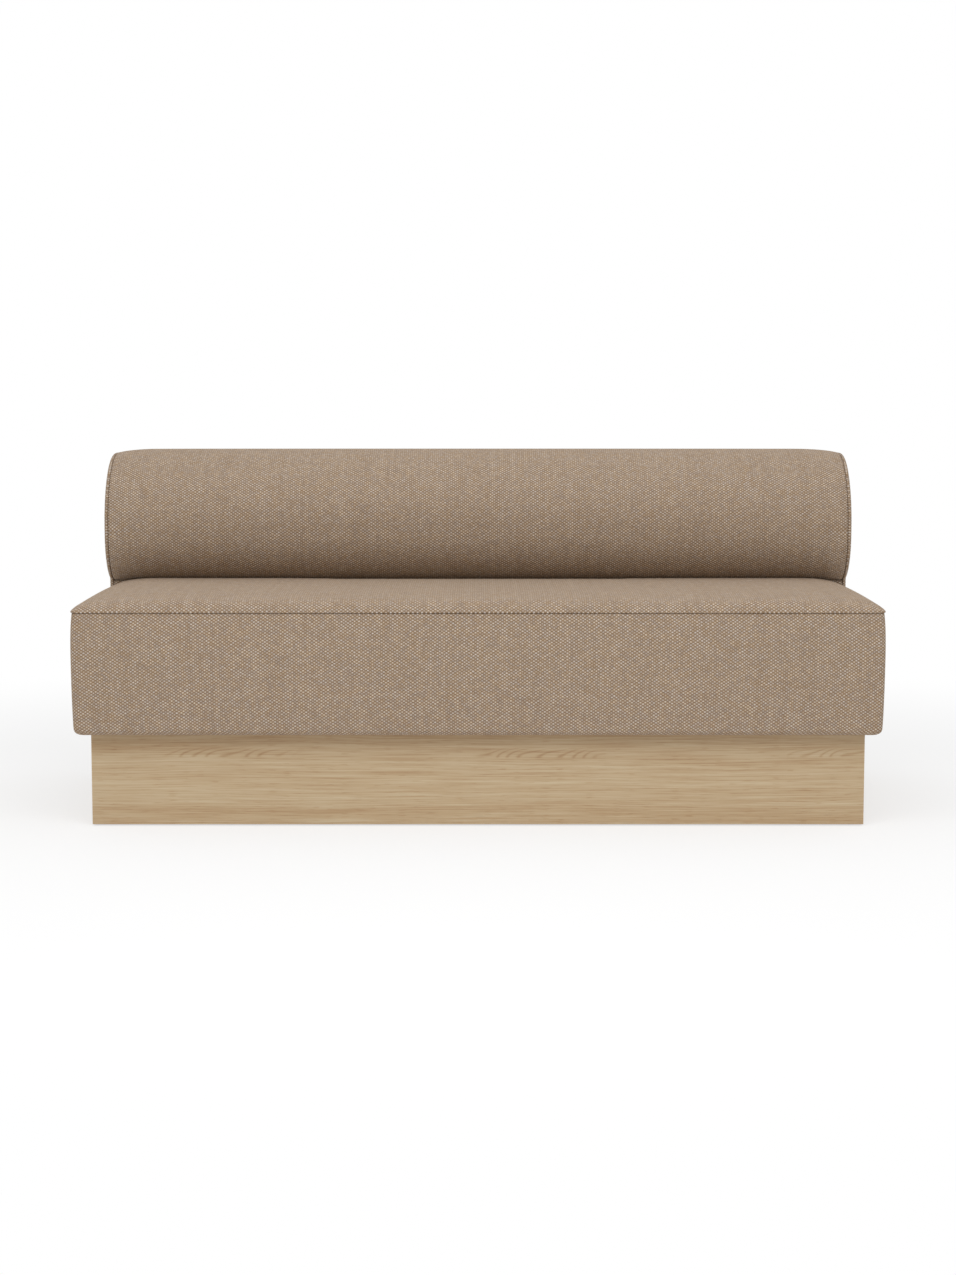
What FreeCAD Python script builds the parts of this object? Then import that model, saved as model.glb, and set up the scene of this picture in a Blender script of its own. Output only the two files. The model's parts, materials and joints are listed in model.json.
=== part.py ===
# Dining sofa: a crowned seat block and a roll back, both upholstered, on an oak plinth.
# Millimetres. X runs along the sofa, Y from its front to its back, Z up from the floor.
# The origin is on the floor, under the middle of the sofa.
import FreeCAD, Part
import math
import os

from FreeCAD import Vector

# Overall sizes
sofa_width = 1650.0
sofa_depth = 750.0
sofa_height = 756.0
fabric = 2.0
soft_gap = 0.3

# Plinth: mitred boards, cross ties on dowels, glide blocks in the corners
plinth_top = 190.0
plinth_inset = 35.0
plinth_board = 18.0
glide_stand = 3.0
tie_width = 90.0
tie_thickness = 18.0
tie_end_inset = 72.0
dowel_radius = 4.0
dowel_length = 36.0
dowel_in_board = 12.0
dowel_spacing = 50.0
glide_block = 56.0
glide_block_height = 100.0

# Levelling glide: a moulded pad on a threaded stem in a sleeve
pad_radius = 20.0
pad_rim = 5.0
pad_chamfer = 2.0
pad_height = 11.0
pad_neck_radius = 10.0
pad_socket_floor = 4.0
stem_radius = 5.0
stem_length = 66.0
stem_hex = 17.0
stem_hex_height = 6.0
sleeve_radius = 7.0
sleeve_length = 25.0
sleeve_flange_radius = 11.0
sleeve_flange = 1.5
thread_clearance = 0.05

# Seat: boxing band with a rolled foot, and a crowned top panel sewn on above it
seat_crown = 29.0
crown_shoulder = 150.0
crown_power = 2.2
crown_corner_growth = 0.5
crown_steps = 5
top_lip_draw = 1.0
border_top_draw = 3.5
border_foot_draw = 3.0
border_fullest_share = 0.7
border_foot_roll = 14.0
border_return = 56.0
seat_corner = 12.0
seat_rear_corner = 6.0

# Seat frame, webbing and cloth
seat_padding = 25.0
rail_thickness = 25.0
rail_height = 95.0
stretcher_share = 0.33
stretcher_drop = 30.0
corner_block = 70.0
corner_block_height = 60.0
strap_count = 12
strap_width = 80.0
strap_thickness = 2.5
deck_cloth = 3.0
dust_cloth = 1.0
dust_gap = 1.0

# Back: the roll, as its end rim, and the wall that carries it
roll_height = 285.0
wall_depth = 220.0
roll_overhang = 70.0
roll_clearance = 2.0
lower_radius = 105.0
upper_radius = 160.0
rear_radius = 95.0
least_flat = 4.0
roll_fullness = 8.0
roll_draw_length = 80.0
roll_power = 2.2
roll_draw_steps = 4
end_bulge = 7.0

# Back frame and padding
rib_thickness = 18.0
rib_share = 0.33
end_padding = 18.0
bolt_board = 18.0
roll_foam = 40.0
roll_shell = 4.0
rear_pad = 5.0
rear_panel = 5.0
bottom_rail_depth = 45.0
bottom_rail_height = 40.0
bottom_rail_setback = 70.0
lumbar_rail_depth = 25.0
lumbar_rail_height = 60.0
lumbar_rail_setback = 12.0
lumbar_rail_below = 20.0
top_rail_depth = 60.0
top_rail_height = 25.0
top_rail_drop = 6.0

# Bolts between seat and back, and screws from the plinth ties
bolt_radius = 4.0
bolt_head = 13.0
bolt_head_height = 5.3
bolt_tail = 6.0
bolt_rise = 50.0
bolt_end_gap = 105.0
bolt_count = 4
bolt_clearance = 0.25
washer_radius = 12.0
washer_thickness = 1.6
tee_barrel_radius = 5.2
tee_flange_radius = 12.0
tee_flange = 1.5
screw_radius = 2.5
screw_length = 50.0
screw_tip = 6.0
screw_head_radius = 5.0
screw_head_height = 3.5
screw_clearance = 0.1
front_screw_inset = 30.0
stretcher_screw_setback = 90.0

# Planes that several pieces share
half_width = sofa_width / 2
front = -sofa_depth / 2
back = sofa_depth / 2
neck = back - wall_depth
seat_back = neck - soft_gap
lining = fabric + soft_gap

plinth_half = half_width - plinth_inset
plinth_front = front + plinth_inset
plinth_rear = back - plinth_inset
plinth_inner_half = plinth_half - plinth_board
plinth_inner_front = plinth_front + plinth_board
plinth_inner_rear = plinth_rear - plinth_board
tie_bottom = plinth_top - tie_thickness
outer_tie_x = plinth_inner_half - tie_end_inset

stem_foot = pad_socket_floor
sleeve_bottom = pad_height + stem_hex_height + soft_gap
glide_block_bottom = sleeve_bottom + sleeve_flange

frame_bottom = plinth_top + fabric
frame_top = frame_bottom + rail_height
frame_half = half_width - seat_padding
frame_front = front + seat_padding
frame_rear = seat_back - lining
rail_inner_half = frame_half - rail_thickness
rail_inner_front = frame_front + rail_thickness
rail_inner_rear = frame_rear - rail_thickness
strap_top = frame_top + strap_thickness
deck_top = strap_top + deck_cloth
stretcher_x = frame_half * stretcher_share

# The roll meets its wall just above the seat's crown.
crevice = sofa_height - roll_height
seat_top = crevice - roll_clearance
seat_edge = seat_top - seat_crown
border_fullest = plinth_top + (seat_edge - plinth_top) * border_fullest_share
belly = neck - roll_overhang
belly_height = crevice + math.sqrt(lower_radius ** 2 - (lower_radius - roll_overhang) ** 2)
rim_top = sofa_height - roll_fullness
rim = half_width - end_bulge
upper_fit = min(
    upper_radius,
    rim_top - belly_height - roll_fullness - least_flat,
    back - belly - rear_radius - least_flat,
)
rear_seam = rim_top - rear_radius

rib_outer = rim - end_padding
inner_rib_x = rib_outer * rib_share
foam_inside = lining + roll_foam
shell_outside = foam_inside + soft_gap
shell_inside = shell_outside + roll_shell
rib_front = shell_inside + soft_gap
rib_neck = lining + bolt_board
panel_outside = lining + rear_pad
rib_rear = panel_outside + rear_panel
bolt_height = frame_bottom + bolt_rise


def box(x0, x1, y0, y1, z0, z1):
    """A block between two corners."""
    return Part.makeBox(x1 - x0, y1 - y0, z1 - z0, Vector(x0, y0, z0))


def upright(x, y, z0, z1, radius):
    """A cylinder along Z."""
    return Part.makeCylinder(radius, z1 - z0, Vector(x, y, z0))


def lengthways(x, y0, y1, z, radius):
    """A cylinder along Y."""
    return Part.makeCylinder(radius, y1 - y0, Vector(x, y0, z), Vector(0, 1, 0))


def plan_prism(points, z0, z1):
    """A polygon in plan, carried up from z0 to z1."""
    corners = [Vector(x, y, z0) for x, y in points]
    face = Part.Face(Part.makePolygon(corners + corners[:1]))
    return face.extrude(Vector(0, 0, z1 - z0))


def hexagon(across, axis):
    """The corners of a hexagon about the origin, square to Y or to Z."""
    radius = across / math.sqrt(3)
    turns = [math.radians(60 * step) for step in range(6)]
    if axis == "Z":
        return [Vector(radius * math.cos(a), radius * math.sin(a), 0) for a in turns]
    return [Vector(radius * math.cos(a), 0, radius * math.sin(a)) for a in turns]


def hex_bar(across, foot, along):
    """A hexagonal bar from a foot point, along Y or Z."""
    corners = [foot + corner for corner in hexagon(across, "Z" if along.z else "Y")]
    return Part.Face(Part.makePolygon(corners + corners[:1])).extrude(along)


def arc(start, middle, end):
    """The edge of an arc through three points."""
    return Part.Arc(start, middle, end).toShape()


def line(start, end):
    """The edge of a straight line."""
    return Part.LineSegment(start, end).toShape()


def swell(share, power):
    """How full a padded edge is, from 0 on its seam to 1 where it is flat again."""
    return 1 - (1 - share) ** power


# Plinth

def plinth_boards():
    """Four boards, mitred where they meet."""
    outer = [(-plinth_half, plinth_front), (plinth_half, plinth_front),
             (plinth_half, plinth_rear), (-plinth_half, plinth_rear)]
    inner = [(-plinth_inner_half, plinth_inner_front), (plinth_inner_half, plinth_inner_front),
             (plinth_inner_half, plinth_inner_rear), (-plinth_inner_half, plinth_inner_rear)]
    boards = {}
    for side, name in enumerate(("front", "right", "rear", "left")):
        after = (side + 1) % 4
        outline = [outer[side], outer[after], inner[after], inner[side]]
        boards[f"plinth_{name}_board"] = plan_prism(outline, glide_stand, plinth_top)
    return boards


def tie_places():
    """The middle of each cross tie, by name."""
    return {
        "plinth_outer_left_tie": -outer_tie_x,
        "plinth_inner_left_tie": -stretcher_x,
        "plinth_inner_right_tie": stretcher_x,
        "plinth_outer_right_tie": outer_tie_x,
    }


def tie_dowels(radius):
    """Two dowels at each end of each tie, half of each in the board."""
    height = plinth_top - tie_thickness / 2
    dowels = []
    for middle in tie_places().values():
        for x in (middle - dowel_spacing / 2, middle + dowel_spacing / 2):
            start = plinth_inner_front - dowel_in_board
            end = plinth_inner_rear + dowel_in_board
            dowels.append(lengthways(x, start, start + dowel_length, height, radius))
            dowels.append(lengthways(x, end - dowel_length, end, height, radius))
    return Part.Compound(dowels)


def glide_places():
    """The axis of each levelling glide, in the middle of its corner block."""
    x = plinth_inner_half - glide_block / 2
    front_y = plinth_inner_front + glide_block / 2
    rear_y = plinth_inner_rear - glide_block / 2
    return {
        "front_left": (-x, front_y),
        "front_right": (x, front_y),
        "rear_left": (-x, rear_y),
        "rear_right": (x, rear_y),
    }


def glide_blocks():
    """Corner blocks, bored for the sleeves and, above them, for the stems."""
    top = glide_block_bottom + glide_block_height
    reach = glide_block / 2
    blocks = []
    for x, y in glide_places().values():
        block = box(x - reach, x + reach, y - reach, y + reach, glide_block_bottom, top)
        bore = upright(x, y, glide_block_bottom, glide_block_bottom + sleeve_length,
                       sleeve_radius + thread_clearance)
        stem_room = upright(x, y, glide_block_bottom, top, stem_radius + soft_gap)
        blocks.append(block.cut(bore).cut(stem_room))
    return Part.Compound(blocks)


def glide_sleeves():
    """Flanged threaded sleeves, one in the foot of each block."""
    sleeves = []
    for x, y in glide_places().values():
        barrel = upright(x, y, sleeve_bottom, glide_block_bottom + sleeve_length, sleeve_radius)
        flange = upright(x, y, sleeve_bottom, glide_block_bottom, sleeve_flange_radius)
        bore = upright(x, y, sleeve_bottom, glide_block_bottom + sleeve_length,
                       stem_radius + thread_clearance)
        sleeves.append(barrel.fuse(flange).removeSplitter().cut(bore))
    return Part.Compound(sleeves)


def glide_stem(x, y):
    """A threaded stem with a hexagon for the spanner just above the pad."""
    stem = upright(x, y, stem_foot, stem_foot + stem_length, stem_radius)
    spanner_hex = hex_bar(stem_hex, Vector(x, y, pad_height), Vector(0, 0, stem_hex_height))
    return stem.fuse(spanner_hex)


def glide_pad(x, y):
    """A moulded pad, turned about its axis, with a socket for the stem."""
    socket = stem_radius + thread_clearance
    profile = [(0, 0), (pad_radius - pad_chamfer, 0), (pad_radius, pad_chamfer),
               (pad_radius, pad_rim), (pad_neck_radius, pad_height), (socket, pad_height),
               (socket, pad_socket_floor), (0, pad_socket_floor)]
    corners = [Vector(x + r, y, z) for r, z in profile]
    face = Part.Face(Part.makePolygon(corners + corners[:1]))
    return face.revolve(Vector(x, y, 0), Vector(0, 0, 1), 360)


# Seat upholstery

def seat_section(z, inset, shrink, corner):
    """A level rounded rectangle of the seat; its rear edge stays against the back."""
    right = half_width - inset - shrink
    fore = front + inset + shrink
    rear = seat_back - shrink
    rear_corner = seat_rear_corner
    bend = 1 - math.sqrt(0.5)
    edges = []
    front_right = Vector(right, fore, z)
    rear_right = Vector(right, rear, z)
    rear_left = Vector(-right, rear, z)
    front_left = Vector(-right, fore, z)
    east, north = Vector(1, 0, 0), Vector(0, 1, 0)
    corners = [
        (front_left, east, north, corner),
        (front_right, north, -east, corner),
        (rear_right, -east, -north, rear_corner),
        (rear_left, -north, east, rear_corner),
    ]
    for index, (point, along, inward, radius) in enumerate(corners):
        next_point, _, _, next_radius = corners[(index + 1) % 4]
        edges.append(arc(point + inward * radius, point + (along + inward) * (radius * bend),
                         point + along * radius))
        edges.append(line(point + along * radius, next_point - along * next_radius))
    return Part.Wire(edges)


def border_solid(shrink):
    """The seat's lower block: a rolled foot, then sides that swell and draw in to the seam."""
    roll = border_foot_roll - shrink
    foot = []
    for turn in (0, 30, 60, 90):
        angle = math.radians(turn)
        z = plinth_top + border_foot_roll - roll * math.cos(angle)
        inset = border_foot_draw + roll * (1 - math.sin(angle))
        foot.append(seat_section(z, inset, shrink, seat_corner))
    foot_top = plinth_top + border_foot_roll
    wall = foot[-1:]
    for share in (0.5, 1.0):
        z = foot_top + (border_fullest - foot_top) * share
        wall.append(seat_section(z, border_foot_draw * (1 - share) ** 2, shrink, seat_corner))
    wall.append(seat_section(seat_edge, border_top_draw, shrink, seat_corner))
    return Part.makeLoft(foot, True, False).fuse(Part.makeLoft(wall, True, False))


def crown_solid(shrink):
    """The seat's top: level sections that close in as they rise to a flat crown."""
    sections = []
    for step in range(crown_steps + 1):
        share = step / crown_steps
        spread = crown_shoulder * share
        z = seat_edge - shrink + seat_crown * swell(share, crown_power)
        corner = seat_corner + crown_corner_growth * spread
        sections.append(seat_section(z, top_lip_draw + spread, shrink, corner))
    crown = Part.makeLoft(sections, True, False)
    return crown.common(box(-half_width, half_width, front, back, seat_edge, sofa_height))


def seat_upholstery():
    """Covers of one cloth thickness, and the foam that fills them."""
    foam = border_solid(lining)
    wide = sofa_width
    core_space = box(-wide, wide, -wide, wide, deck_top, seat_edge)
    frame_space = box(-frame_half, frame_half, frame_front, back, 0, deck_top)
    low_space = box(-wide, wide, -wide, wide, frame_bottom, deck_top)
    low_foam = foam.common(low_space).cut(frame_space)
    opening = box(border_return - half_width, half_width - border_return,
                  front + border_return, seat_back - border_return, 0, frame_bottom)
    return {
        "seat_core_foam": foam.common(core_space),
        "seat_crown_pad": crown_solid(lining),
        "seat_front_pad": low_foam.common(box(-frame_half, frame_half, front, back, 0, deck_top)),
        "seat_left_pad": low_foam.common(box(-wide, -frame_half, front, back, 0, deck_top)),
        "seat_right_pad": low_foam.common(box(frame_half, wide, front, back, 0, deck_top)),
        "seat_top_cover": crown_solid(0).cut(crown_solid(fabric)),
        "seat_border_cover": border_solid(0).cut(border_solid(fabric)).cut(opening),
        "seat_dust_cover": box(border_return + dust_gap - half_width,
                               half_width - border_return - dust_gap,
                               front + border_return + dust_gap,
                               seat_back - border_return - dust_gap,
                               frame_bottom - dust_cloth, frame_bottom),
    }


# Seat frame

def seat_frame():
    """Rails, stretchers and corner blocks, the webbing across them and the cloth on it."""
    low_top = frame_top - stretcher_drop
    half_rail = rail_thickness / 2
    pieces = {
        "seat_front_rail": box(-frame_half, frame_half, frame_front, rail_inner_front,
                               frame_bottom, frame_top),
        "seat_rear_rail": box(-frame_half, frame_half, rail_inner_rear, frame_rear,
                              frame_bottom, frame_top),
        "seat_left_rail": box(-frame_half, -rail_inner_half, rail_inner_front, rail_inner_rear,
                              frame_bottom, frame_top),
        "seat_right_rail": box(rail_inner_half, frame_half, rail_inner_front, rail_inner_rear,
                               frame_bottom, frame_top),
    }
    for name, x in (("seat_left_stretcher", -stretcher_x), ("seat_right_stretcher", stretcher_x)):
        pieces[name] = box(x - half_rail, x + half_rail, rail_inner_front, rail_inner_rear,
                           frame_bottom, low_top)
    blocks = []
    for x, along in ((-rail_inner_half, corner_block), (rail_inner_half, -corner_block)):
        for y, inward in ((rail_inner_front, corner_block), (rail_inner_rear, -corner_block)):
            corners = [(x, y), (x + along, y), (x, y + inward)]
            blocks.append(plan_prism(corners, frame_bottom, frame_bottom + corner_block_height))
    pieces["seat_corner_blocks"] = Part.Compound(blocks)
    pitch = 2 * rail_inner_half / strap_count
    straps = []
    for index in range(strap_count):
        middle = -rail_inner_half + pitch * (index + 0.5)
        straps.append(box(middle - strap_width / 2, middle + strap_width / 2,
                          frame_front, frame_rear, frame_top, strap_top))
    pieces["seat_webbing"] = Part.Compound(straps)
    pieces["seat_deck_cloth"] = box(-frame_half, frame_half, frame_front, frame_rear,
                                    strap_top, deck_top)
    return pieces


# Back

def back_outline(x, crown, fore_inset, neck_inset, rear_inset, foot_inset):
    """The back's section square to X: a wall with a roll in front of and on top of it.

    crown lifts the roll above its end rim; the insets draw its sides in from the cloth.
    """
    lower = lower_radius + crown - fore_inset
    upper = upper_fit + crown - fore_inset
    turn = rear_radius - max(fore_inset, rear_inset)
    lower_y, lower_z = belly + lower_radius, belly_height + crown
    upper_y, upper_z = belly + upper_fit, rim_top - upper_fit
    top = upper_z + upper
    neck_y = neck + neck_inset
    rear_y = back - rear_inset
    foot_z = plinth_top + foot_inset
    under = math.acos((lower_y - neck_y) / lower)

    def on_lower(angle):
        return Vector(x, lower_y - lower * math.cos(angle), lower_z - lower * math.sin(angle))

    def on_upper(angle):
        return Vector(x, upper_y - upper * math.cos(angle), upper_z + upper * math.sin(angle))

    def on_rear(angle):
        return Vector(x, rear_y - turn + turn * math.sin(angle), top - turn + turn * math.cos(angle))

    quarter = math.pi / 2
    foot_front, foot_rear = Vector(x, neck_y, foot_z), Vector(x, rear_y, foot_z)
    return Part.Wire([
        line(foot_front, on_lower(under)),
        arc(on_lower(under), on_lower(under / 2), on_lower(0)),
        line(on_lower(0), on_upper(0)),
        arc(on_upper(0), on_upper(quarter / 2), on_upper(quarter)),
        line(on_upper(quarter), on_rear(0)),
        arc(on_rear(0), on_rear(quarter / 2), on_rear(quarter)),
        line(on_rear(quarter), foot_rear),
        line(foot_rear, foot_front),
    ])


def back_prism(x0, x1, crown, fore_inset, neck_inset, rear_inset, foot_inset):
    """A straight length of the back's section."""
    wire = back_outline(x0, crown, fore_inset, neck_inset, rear_inset, foot_inset)
    return Part.Face(wire).extrude(Vector(x1 - x0, 0, 0))


def back_tube(inset):
    """The whole back between its end seams: full along its length, drawn in at both ends."""
    insets = (inset, inset, inset, inset)
    full = rim - roll_draw_length
    tube = back_prism(-full, full, roll_fullness, *insets)
    for side in (-1, 1):
        wires = []
        for step in range(roll_draw_steps + 1):
            share = step / roll_draw_steps
            x = side * (rim - roll_draw_length * share)
            wires.append(back_outline(x, roll_fullness * swell(share, roll_power), *insets))
        tube = tube.fuse(Part.makeLoft(wires, True, False))
    return tube


def back_end(inset, side):
    """An end panel's bulge outside its seam: the rim's section with a quarter-round edge."""
    bulge = end_bulge - inset
    wires = []
    for turn in (0, 30, 60, 90):
        angle = math.radians(turn)
        draw = inset + bulge * (1 - math.cos(angle))
        wires.append(back_outline(side * (rim + bulge * math.sin(angle)), 0, draw, draw, draw, draw))
    return Part.makeLoft(wires, True, False)


def end_pad(side):
    """Foam on the end rib, filling the end panel."""
    start, end = sorted((side * rib_outer, side * rim))
    flat = back_prism(start, end, 0, lining, lining, lining, lining)
    return flat.fuse(back_end(lining, side))


def back_upholstery():
    """The back's covers, cut at their seams, and the padding inside them."""
    wide = sofa_width
    skin = back_tube(0).cut(back_tube(fabric))
    padding = back_tube(lining).common(box(-rib_outer, rib_outer, -wide, wide, 0, wide))
    frame = back_prism(-wide, wide, 0, foam_inside, rib_neck, panel_outside, fabric)
    padding = padding.cut(frame)
    below_roll = box(-wide, wide, -wide, back - rear_radius, 0, crevice)
    rear_space = box(-wide, wide, back - rear_radius, wide, 0, rear_seam)
    pieces = {
        "roll_foam": padding.cut(below_roll).cut(rear_space),
        "rear_pad": padding.common(rear_space).common(box(-wide, wide, back - panel_outside, wide,
                                                          frame_bottom, wide)),
        "roll_cover": skin.cut(below_roll).cut(rear_space),
        "rear_cover": skin.common(rear_space),
        "neck_cover": skin.common(below_roll),
    }
    for name, side in (("left", -1), ("right", 1)):
        pieces[f"{name}_end_pad"] = end_pad(side)
        pieces[f"{name}_end_cover"] = back_end(0, side).cut(back_end(fabric, side))
    return pieces


def back_frame():
    """Plywood ribs, the rails let into them, the boards on them and the roll's bent shell."""
    rail_front = belly + rib_front + lumbar_rail_setback
    bottom_rear = back - rib_rear - bottom_rail_setback
    top_middle = (belly + upper_fit + back - rear_radius) / 2
    top_rail_top = rim_top - rib_front - top_rail_drop
    rails = {
        "back_bottom_rail": box(-rib_outer, rib_outer, bottom_rear - bottom_rail_depth, bottom_rear,
                                frame_bottom, frame_bottom + bottom_rail_height),
        "back_lumbar_rail": box(-rib_outer, rib_outer, rail_front, rail_front + lumbar_rail_depth,
                                belly_height - lumbar_rail_below,
                                belly_height - lumbar_rail_below + lumbar_rail_height),
        "back_top_rail": box(-rib_outer, rib_outer, top_middle - top_rail_depth / 2,
                             top_middle + top_rail_depth / 2,
                             top_rail_top - top_rail_height, top_rail_top),
    }
    starts = {
        "back_left_end_rib": -rib_outer,
        "back_left_rib": -inner_rib_x - rib_thickness / 2,
        "back_right_rib": inner_rib_x - rib_thickness / 2,
        "back_right_end_rib": rib_outer - rib_thickness,
    }
    pieces = dict(rails)
    for name, start in starts.items():
        rib = back_prism(start, start + rib_thickness, 0, rib_front, rib_neck, rib_rear, fabric)
        for rail in rails.values():
            rib = rib.cut(rail)
        pieces[name] = rib
    pieces["back_bolt_board"] = box(-rib_outer, rib_outer, neck + lining, neck + rib_neck,
                                    frame_bottom, crevice)
    pieces["back_rear_panel"] = box(-rib_outer, rib_outer, back - rib_rear, back - panel_outside,
                                    frame_bottom, rear_seam)
    shell_neck = rib_neck - soft_gap
    shell = back_prism(-rib_outer, rib_outer, 0, shell_outside, shell_neck, rib_rear, fabric)
    hollow = back_prism(-rib_outer, rib_outer, 0, shell_inside, shell_neck, rib_rear, fabric)
    shell = shell.cut(hollow)
    pieces["roll_shell"] = shell.common(box(-rib_outer, rib_outer, belly, back - rear_radius,
                                            crevice, sofa_height))
    return pieces


# Fasteners

def bolt_places():
    """The X of each bolt between seat and back."""
    outermost = rail_inner_half - corner_block - bolt_end_gap
    return [outermost * (2 * index / (bolt_count - 1) - 1) for index in range(bolt_count)]


def back_fasteners():
    """Bolts from the seat's rear rail to tee nuts behind the bolt board."""
    head_face = rail_inner_rear - washer_thickness
    board_rear = neck + rib_neck
    bolts, washers, nuts = [], [], []
    for x in bolt_places():
        shank = lengthways(x, head_face, board_rear + bolt_tail, bolt_height, bolt_radius)
        head = hex_bar(bolt_head, Vector(x, head_face - bolt_head_height, bolt_height),
                       Vector(0, bolt_head_height, 0))
        bolts.append(shank.fuse(head))
        bore = lengthways(x, neck, board_rear + bolt_tail, bolt_height,
                          bolt_radius + thread_clearance)
        disc = lengthways(x, head_face, rail_inner_rear, bolt_height, washer_radius)
        eye = lengthways(x, head_face, rail_inner_rear, bolt_height, bolt_radius + bolt_clearance)
        washers.append(disc.cut(eye))
        barrel = lengthways(x, neck + lining, board_rear, bolt_height, tee_barrel_radius)
        flange = lengthways(x, board_rear, board_rear + tee_flange, bolt_height, tee_flange_radius)
        nuts.append(barrel.fuse(flange).cut(bore))
    return {
        "back_bolts": Part.Compound(bolts),
        "back_washers": Part.Compound(washers),
        "back_tee_nuts": Part.Compound(nuts),
    }


def screw_places():
    """Where screws go up through the ties into the seat frame and the back's bottom rail."""
    rear_rail_y = frame_rear - rail_thickness / 2
    bottom_rail_y = back - rib_rear - bottom_rail_setback - bottom_rail_depth / 2
    stretcher_y = rail_inner_front + stretcher_screw_setback
    places = []
    for x in tie_places().values():
        places += [(x, rear_rail_y), (x, bottom_rail_y)]
    places += [(-stretcher_x, stretcher_y), (stretcher_x, stretcher_y)]
    for side in (-1, 1):
        corner_x = side * (rail_inner_half - front_screw_inset)
        places.append((corner_x, rail_inner_front + front_screw_inset))
    return places


def plinth_screws():
    """Pan-head wood screws with their heads under the ties."""
    screws = []
    shank_top = tie_bottom + screw_length - screw_tip
    for x, y in screw_places():
        head = upright(x, y, tie_bottom - screw_head_height, tie_bottom, screw_head_radius)
        shank = upright(x, y, tie_bottom, shank_top, screw_radius)
        tip = Part.makeCone(screw_radius, 0, screw_tip, Vector(x, y, shank_top))
        screws.append(head.fuse([shank, tip]))
    return Part.Compound(screws)


def screw_holes():
    """Pilot holes that follow the screws."""
    top = tie_bottom + screw_length + soft_gap
    radius = screw_radius + screw_clearance
    return Part.Compound([upright(x, y, tie_bottom, top, radius) for x, y in screw_places()])


def bolt_holes(radius):
    """Holes along the bolts, from the seat's rear rail to behind the bolt board."""
    return Part.Compound([
        lengthways(x, rail_inner_rear, neck + rib_neck, bolt_height, radius) for x in bolt_places()
    ])


def build():
    """All pieces by name, with the holes that their fasteners need."""
    pieces = plinth_boards()
    for name, x in tie_places().items():
        pieces[name] = box(x - tie_width / 2, x + tie_width / 2, plinth_inner_front,
                           plinth_inner_rear, tie_bottom, plinth_top)
    pieces["glide_blocks"] = glide_blocks()
    pieces["glide_sleeves"] = glide_sleeves()
    for name, (x, y) in glide_places().items():
        pieces[f"{name}_glide_stem"] = glide_stem(x, y)
        pieces[f"{name}_glide_pad"] = glide_pad(x, y)
    pieces.update(seat_frame())
    pieces.update(seat_upholstery())
    pieces.update(back_frame())
    pieces.update(back_upholstery())

    dowel_holes = tie_dowels(dowel_radius + thread_clearance)
    for name in ["plinth_front_board", "plinth_rear_board", *tie_places()]:
        pieces[name] = pieces[name].cut(dowel_holes)
    for name in [*tie_places(), "seat_rear_rail", "seat_left_stretcher", "seat_right_stretcher",
                 "seat_corner_blocks", "seat_dust_cover", "seat_border_cover", "neck_cover",
                 "back_bottom_rail"]:
        pieces[name] = pieces[name].cut(screw_holes())
    for name in ("seat_rear_rail", "seat_border_cover", "neck_cover"):
        pieces[name] = pieces[name].cut(bolt_holes(bolt_radius + bolt_clearance))
    barrel_holes = bolt_holes(tee_barrel_radius + thread_clearance)
    pieces["back_bolt_board"] = pieces["back_bolt_board"].cut(barrel_holes)

    pieces["tie_dowels"] = tie_dowels(dowel_radius)
    pieces["plinth_screws"] = plinth_screws()
    pieces.update(back_fasteners())
    return pieces


os.makedirs("parts", exist_ok=True)
for node, shape in build().items():
    shape.exportStep(f"parts/{node}.step")
    print(f"{node}: {len(shape.Solids)} solid(s), {shape.Volume / 1000:.1f} cm3")
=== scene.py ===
# %% [markdown]
# # A dining sofa, dressed
# The carpentry of this sofa is already solid: a plinth, a seat frame, a back frame. What a visitor
# sees, though, is nearly all cloth. This lesson loads the carpentry as a fixed frame and sews the
# covers round it: a crowned seat panel, a boxing band, a round roll with its end panels, and the
# flat cloth behind.

# %% Load the frame
import json
import math

import bpy
import numpy as np
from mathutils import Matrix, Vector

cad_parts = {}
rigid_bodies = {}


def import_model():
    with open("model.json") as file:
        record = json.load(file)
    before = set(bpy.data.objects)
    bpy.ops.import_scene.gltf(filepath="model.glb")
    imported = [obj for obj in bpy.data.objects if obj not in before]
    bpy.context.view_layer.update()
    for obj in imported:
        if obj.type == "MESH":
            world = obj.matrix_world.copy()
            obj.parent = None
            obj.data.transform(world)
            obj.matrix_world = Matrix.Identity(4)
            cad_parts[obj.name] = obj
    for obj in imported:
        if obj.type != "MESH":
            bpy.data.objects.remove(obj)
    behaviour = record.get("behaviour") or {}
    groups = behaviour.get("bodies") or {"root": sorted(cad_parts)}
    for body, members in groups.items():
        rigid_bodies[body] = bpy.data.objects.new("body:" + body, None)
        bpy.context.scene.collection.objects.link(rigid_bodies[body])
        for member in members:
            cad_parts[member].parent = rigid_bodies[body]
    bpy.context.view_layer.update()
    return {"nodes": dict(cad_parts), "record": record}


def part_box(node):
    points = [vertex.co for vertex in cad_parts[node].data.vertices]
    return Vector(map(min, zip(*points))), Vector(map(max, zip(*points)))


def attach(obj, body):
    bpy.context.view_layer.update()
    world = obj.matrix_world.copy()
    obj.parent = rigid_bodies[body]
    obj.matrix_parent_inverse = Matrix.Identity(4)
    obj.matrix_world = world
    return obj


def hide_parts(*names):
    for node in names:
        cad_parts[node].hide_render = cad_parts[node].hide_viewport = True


for leftover in list(bpy.data.objects):
    bpy.data.objects.remove(leftover)

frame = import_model()
scene = bpy.context.scene
scene.view_settings.view_transform = "Standard"
print("nodes in the frame:", len(frame["nodes"]))

# %% [markdown]
# ## The camera
# The photograph was taken from straight in front and a little above, with a long lens: the plinth
# narrows downwards by less than one part in a hundred. A lens of 65.75 mm, five metres away and
# tipped down by six degrees, gives the same narrowing. The camera comes first, so that every later
# step can be compared with the photograph.

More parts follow.
